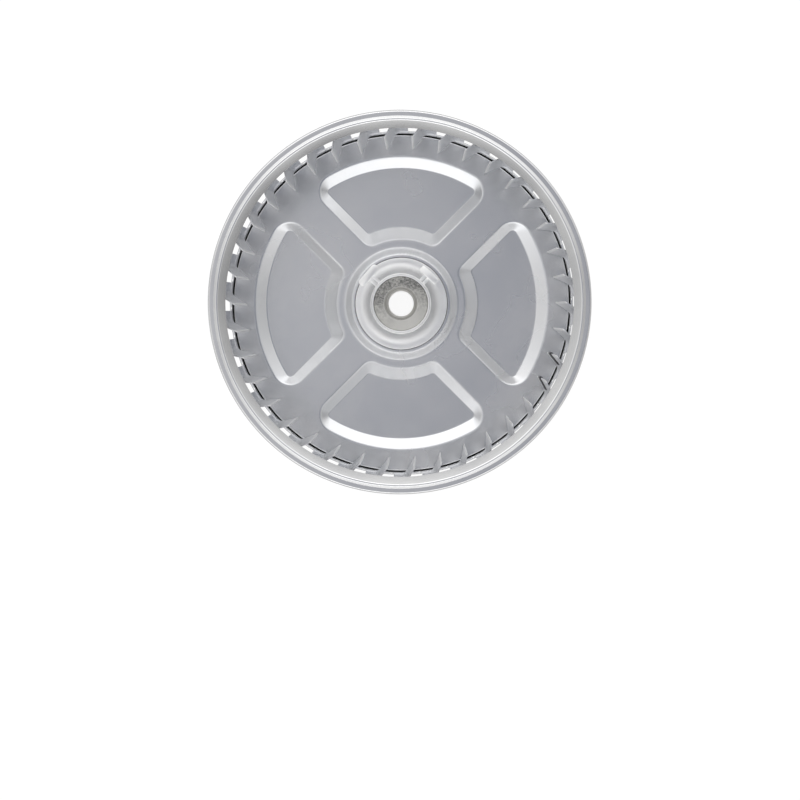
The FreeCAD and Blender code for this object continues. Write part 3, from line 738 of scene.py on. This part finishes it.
# Balance clips
def clip_line():
    """Middle line of a clip's sheet round the edge of the first blade."""
    edge = tongue_point(PITCH_LENGTH, LAND_RISE)
    land_end = LAND_WIDTH / PITCH_LENGTH * PITCH
    heading = land_end + BLADE_TURN + math.pi / 2
    radius = STRIP_SHEET / 2 + CLIP_GAP + CLIP_SHEET / 2
    centre = edge + polar(CLIP_GAP, heading)
    hollow = polar(radius, heading + math.pi / 2)
    out = polar(1.0, heading + math.pi)
    flare = polar(CLIP_FLARE, heading + math.pi + CLIP_FLARE_ANGLE)
    line = [centre + hollow + out * CLIP_LONG_LEG, centre + hollow + out * CLIP_LONG_LEG / 2]
    for step in range(CLIP_BEND_STEPS + 1):
        angle = heading + math.pi / 2 - math.pi * step / CLIP_BEND_STEPS
        line.append(centre + polar(radius, angle))
    line.append(centre - hollow + out * CLIP_SHORT_LEG)
    line.append(line[-1] + flare)
    return line


def make_balance_clip(name, blade):
    line = clip_line()
    turn = first_blade_turn() + blade * PITCH
    levels = [CLIP_LOW, (CLIP_LOW + CLIP_TOP) / 2, CLIP_TOP]

    def place(column, row):
        return Matrix.Rotation(turn, 4, "Z") @ Vector((line[column].x, line[column].y, levels[row]))

    piece = formed_sheet(name, len(line) - 1, len(levels) - 1, place)
    give_wall(piece, CLIP_SHEET)
    soften(piece, CLIP_EDGE)
    return piece


# Shading
class Shading:
    """Nodes of one shader tree, fed by a set of coordinates."""

    def __init__(self, owner, coordinates):
        owner.use_nodes = True
        self.tree = owner.node_tree
        self.place = self.tree.nodes.new("ShaderNodeTexCoord").outputs[coordinates]

    def link(self, source, target):
        self.tree.links.new(source, target)

    def feed(self, sockets, given):
        """Links an output to each socket, or sets a plain value on it."""
        for socket, item in zip(sockets, given):
            if isinstance(item, (int, float)):
                socket.default_value = item
            elif isinstance(item, tuple):
                socket.default_value = (*item, 1.0)
            else:
                self.link(item, socket)

    def noise(self, scale, detail=3.0, roughness=0.5):
        node = self.tree.nodes.new("ShaderNodeTexNoise")
        node.inputs["Scale"].default_value = scale
        node.inputs["Detail"].default_value = detail
        node.inputs["Roughness"].default_value = roughness
        self.link(self.place, node.inputs["Vector"])
        return node.outputs["Fac"]

    def cells(self, scale):
        node = self.tree.nodes.new("ShaderNodeTexVoronoi")
        node.inputs["Scale"].default_value = scale
        self.link(self.place, node.inputs["Vector"])
        split = self.tree.nodes.new("ShaderNodeSeparateColor")
        self.link(node.outputs["Color"], split.inputs["Color"])
        return split.outputs["Red"]

    def along(self, direction):
        """Share of the coordinates along a direction."""
        node = self.tree.nodes.new("ShaderNodeVectorMath")
        node.operation = "DOT_PRODUCT"
        node.inputs[1].default_value = direction
        self.link(self.place, node.inputs[0])
        return node.outputs["Value"]

    def remap(self, source, low, high, to_low, to_high, smooth=False):
        node = self.tree.nodes.new("ShaderNodeMapRange")
        if smooth:
            node.interpolation_type = "SMOOTHSTEP"
        node.inputs["From Min"].default_value = low
        node.inputs["From Max"].default_value = high
        node.inputs["To Min"].default_value = to_low
        node.inputs["To Max"].default_value = to_high
        self.link(source, node.inputs["Value"])
        return node.outputs["Result"]

    def math(self, operation, first, second):
        node = self.tree.nodes.new("ShaderNodeMath")
        node.operation = operation
        self.feed(node.inputs, (first, second))
        return node.outputs["Value"]

    def total(self, base, *weighted):
        """A base value plus each output times its weight."""
        for weight, output in weighted:
            base = self.math("ADD", self.math("MULTIPLY", output, weight), base)
        return base

    def between(self, source, low, high, edge):
        """1 where a value lies between two bounds, with a soft edge."""
        above = self.remap(source, low - edge, low + edge, 0.0, 1.0)
        below = self.remap(source, high - edge, high + edge, 1.0, 0.0)
        return self.math("MULTIPLY", above, below)

    def radius(self):
        """Distance from the wheel's axis."""
        across = self.along((1.0, 0.0, 0.0))
        ahead = self.along((0.0, 1.0, 0.0))
        squares = self.math("ADD", self.math("MULTIPLY", across, across),
                            self.math("MULTIPLY", ahead, ahead))
        return self.math("SQRT", squares, 0.0)

    def blend(self, factor, first, second):
        """Mix of two colours, each a tuple or an output."""
        node = self.tree.nodes.new("ShaderNodeMix")
        node.data_type = "RGBA"
        self.feed((node.inputs[0], node.inputs[6], node.inputs[7]), (factor, first, second))
        return node.outputs[2]


class Finish(Shading):
    """A metal finish on object coordinates."""

    def __init__(self, name, roughness, metallic=1.0):
        self.material = bpy.data.materials.new(name)
        super().__init__(self.material, "Object")
        self.shader = self.tree.nodes["Principled BSDF"]
        self.shader.inputs["Metallic"].default_value = metallic
        self.shader.inputs["Roughness"].default_value = roughness

    def bump(self, height, strength, distance):
        node = self.tree.nodes.new("ShaderNodeBump")
        node.inputs["Strength"].default_value = strength
        node.inputs["Distance"].default_value = distance
        self.link(height, node.inputs["Height"])
        self.link(node.outputs["Normal"], self.shader.inputs["Normal"])

    def colour(self, output):
        self.link(output, self.shader.inputs["Base Color"])

    def rough(self, output):
        self.link(output, self.shader.inputs["Roughness"])


def galvanised(name, colours, roughness, grain, shaded_creases=(), edges=None):
    """Zinc-coated sheet: nearly even, with faint clouds, a trace of spangle and fine grain.
    Each crease given as (radii, heights) is painted near black as painted shade. Inside the
    radius that edges gives, the blades' inner ends get a painted highlight and a rougher finish."""
    finish = Finish(name, roughness)
    cloud = finish.noise(24.0, 3.0)
    shade = finish.math("ADD", finish.math("MULTIPLY", finish.cells(300.0), 0.10),
                        finish.math("MULTIPLY", cloud, 0.90))
    colour = finish.blend(finish.remap(shade, 0.3, 0.7, 0.0, 1.0), *colours)
    rough = finish.remap(cloud, 0.3, 0.7, roughness - 0.03, roughness + 0.03)
    radius = finish.radius()
    height = finish.along((0.0, 0.0, 1.0))
    # Painted highlight: the blades' inner ends are painted near white, and their finish is made
    # rougher
    if edges:
        edge_highlight = finish.remap(radius, edges - 0.1 * MM, edges + 0.1 * MM, 1.0, 0.0)
        colour = finish.blend(edge_highlight, colour, PAINTED_EDGE_HIGHLIGHT)
        rough = finish.math("ADD", rough, finish.math("MULTIPLY", edge_highlight, 0.25))
    # Painted shade: each crease is painted near black where shade falls in the gap
    for radii, heights in shaded_creases:
        crease_shade = finish.math("MULTIPLY", finish.between(radius, *radii, 0.06 * MM),
                             finish.between(height, *heights, 0.1 * MM))
        colour = finish.blend(crease_shade, colour, PAINTED_SHADE)
    finish.colour(colour)
    finish.rough(rough)
    relief = finish.math("ADD", finish.math("MULTIPLY", cloud, 1.0 - grain),
                         finish.math("MULTIPLY", finish.noise(1400.0, 2.0), grain))
    finish.bump(relief, 0.14, 0.25 * MM)
    return finish.material


def bright_zinc(name, colours, roughness):
    """Bright plated steel with faint clouds and a trace of unevenness."""
    finish = Finish(name, roughness)
    cloud = finish.noise(90.0, 3.0)
    finish.colour(finish.blend(finish.remap(cloud, 0.35, 0.65, 0.0, 1.0), *colours))
    finish.rough(finish.remap(cloud, 0.3, 0.7, roughness - 0.04, roughness + 0.05))
    finish.bump(finish.noise(420.0, 2.0), 0.08, 0.04 * MM)
    return finish.material


def grainy_bush(name):
    """Sintered steel: coarse dark grain, paler and smoother towards -Y, with turned rings."""
    finish = Finish(name, 0.5)
    grain = finish.noise(1100.0, 4.0, 0.7)
    patch = finish.noise(120.0, 2.0)
    # Paler and smoother towards -Y, a little towards +X
    paler_side = finish.remap(finish.along((0.25, -1.0, 0.0)), -0.008, 0.013, 0.0, 1.0, True)
    mix = finish.total(0.0, (0.7, grain), (0.3, patch))
    coarse = finish.blend(finish.remap(mix, 0.40, 0.60, 0.0, 1.0), *COARSE_GRAIN)
    smooth = finish.blend(patch, *PALE_GRAIN)
    colour = finish.blend(paler_side, coarse, smooth)
    radius = finish.radius()
    mouth_edge = BORE_RADIUS + BORE_MOUTH
    mouth = finish.remap(radius, mouth_edge, mouth_edge + 0.5 * MM, 1.0, 0.0)
    rings = finish.math("SINE", finish.math("MULTIPLY", radius, 9000.0), 0.0)
    ring_shade = finish.blend(finish.remap(rings, -0.6, 0.8, 0.0, 1.0), *TURNED_RINGS)
    finish.colour(finish.blend(mouth, colour, ring_shade))
    finish.bump(grain, 0.5, 0.12 * MM)
    return finish.material


def blackened(name):
    """Blackened spring steel."""
    finish = Finish(name, 0.42, 0.85)
    cloud = finish.noise(300.0, 3.0)
    finish.colour(finish.blend(cloud, *BLACKENED))
    finish.rough(finish.remap(cloud, 0.3, 0.7, 0.35, 0.5))
    return finish.material


# Stage
def make_floor():
    """A white floor that glows for the camera, and less in the metal, and takes a faint
    shadow."""
    deselect()
    bpy.ops.mesh.primitive_plane_add(size=8.0, location=(0, 0, 0))
    floor = bpy.context.object
    floor.name = "floor"
    finish = Finish("pale_floor", 0.9, 0.0)
    finish.shader.inputs["Base Color"].default_value = (*FLOOR_GREY, 1.0)
    finish.shader.inputs["Specular IOR Level"].default_value = 0.0
    finish.shader.inputs["Emission Color"].default_value = (*WHITE, 1.0)
    rays = finish.tree.nodes.new("ShaderNodeLightPath").outputs
    seen = finish.math("MAXIMUM", rays["Is Camera Ray"], rays["Is Transmission Ray"])
    glow = finish.total(0.0, (FLOOR_GLOW, seen), (FLOOR_GLOW_MIRRORED, rays["Is Glossy Ray"]))
    finish.link(glow, finish.shader.inputs["Emission Strength"])
    floor.data.materials.append(finish.material)


def make_world():
    """Surroundings that the metal mirrors: cool and dim overhead, lighter to the left, then a
    bright band half way down that is strongest above and below, and a greyer zone under it."""
    world = bpy.data.worlds.new("studio")
    bpy.context.scene.world = world
    sky = Shading(world, "Generated")
    tilt = sky.radius()
    across = sky.math("DIVIDE", sky.along((1.0, 0.0, 0.0)), tilt)
    ahead = sky.math("DIVIDE", sky.along((0.0, 1.0, 0.0)), tilt)
    across_square = sky.math("MULTIPLY", across, across)
    sides = sky.math("MULTIPLY", across_square, across_square)
    lean = sky.remap(sky.along((-1.0, 0.15, 0.0)), *OVERHEAD_LEAN, 0.0, 1.0, True)
    overhead = sky.blend(lean, *OVERHEAD_COLOURS)
    band = sky.total(BAND_LIGHT, (-0.80, sides), (-0.10, across), (0.05, ahead))
    low = sky.total(LOW_LIGHT, (0.16, ahead), (-0.10, across))
    colour = sky.blend(sky.remap(tilt, *BAND_START, 0.0, 1.0, True), overhead, band)
    colour = sky.blend(sky.remap(tilt, *BAND_END, 0.0, 1.0, True), colour, low)
    height = sky.along((0.0, 0.0, 1.0))
    colour = sky.blend(sky.remap(height, *HORIZON, 0.9, 0.0, True), colour, WHITE)
    camera = sky.tree.nodes.new("ShaderNodeLightPath").outputs["Is Camera Ray"]
    colour = sky.blend(camera, colour, WHITE)
    sky.link(colour, sky.tree.nodes["Background"].inputs["Color"])


def make_camera():
    data = bpy.data.cameras.new("camera")
    camera = bpy.data.objects.new("camera", data)
    bpy.context.scene.collection.objects.link(camera)
    bpy.context.scene.camera = camera
    data.sensor_width = 36.0
    data.lens = FOCAL_PIXELS * data.sensor_width / PICTURE
    x, y = CAMERA_PLACE
    camera.location = (x, y, WHEEL_TOP + CAMERA_HEIGHT)
    aside = math.atan((WHEEL_PIXEL[0] - PICTURE / 2) / FOCAL_PIXELS)
    above = math.atan((PICTURE / 2 - WHEEL_PIXEL[1]) / FOCAL_PIXELS)
    yaw = math.atan2(-x, CAMERA_HEIGHT) - aside
    pitch = math.atan2(-y, CAMERA_HEIGHT) - above
    back = -Vector((math.tan(yaw), math.tan(pitch), -1)).normalized()
    right = Vector((0, 1, 0)).cross(back).normalized()
    camera.rotation_euler = Matrix((right, back.cross(right), back)).transposed().to_euler()


bpy.context.scene.view_settings.view_transform = "Standard"
make_camera()
make_world()
make_floor()

# Creases painted near black as painted shade, as radii and heights
gap = ((FLOOR_EDGE - 0.5 * MM, STRIP_RADIUS + 0.3 * MM), (0.5 * MM, FLOOR_STEP + 0.3 * MM))
strip_foot = ((STRIP_RADIUS - 0.8 * MM, STRIP_MIDDLE), (0.0, FLOOR_STEP + PLATE_SHEET))
seat = ((SLEEVE_EDGE - 0.1 * MM, SLEEVE_EDGE + 0.3 * MM), (3.0 * MM, 8.0 * MM))
finish_piece(make_back_plate(), "back_plate",
             galvanised("galvanised_plate", PLATE_COLOURS, 0.26, 0.1, shaded_creases=(gap, seat)),
             even_flats=True)
finish_piece(make_blade_strip(), "blade_strip",
             galvanised("galvanised_strip", STRIP_COLOURS, 0.30, 0.1, shaded_creases=(strip_foot,),
                        edges=BLADE_EDGE_RADIUS))
finish_piece(make_inlet_ring(), "inlet_ring",
             galvanised("galvanised_ring", RING_COLOURS, 0.18, 0.04))
finish_piece(make_hub_sleeve(), "hub_sleeve", bright_zinc("zinc_sleeve", SLEEVE_COLOURS, 0.40))
finish_piece(make_hub_bush(), "hub_bush", grainy_bush("grainy_steel"))
finish_piece(make_spring_clamp(), "spring_clamp", bright_zinc("zinc_clamp", CLAMP_COLOURS, 0.36))
black = blackened("blackened_steel")
for number, blade in enumerate(CLIP_BLADES, start=1):
    finish_piece(make_balance_clip("balance_spring_%d" % number, blade),
                 "balance_clip_%d" % number, black)
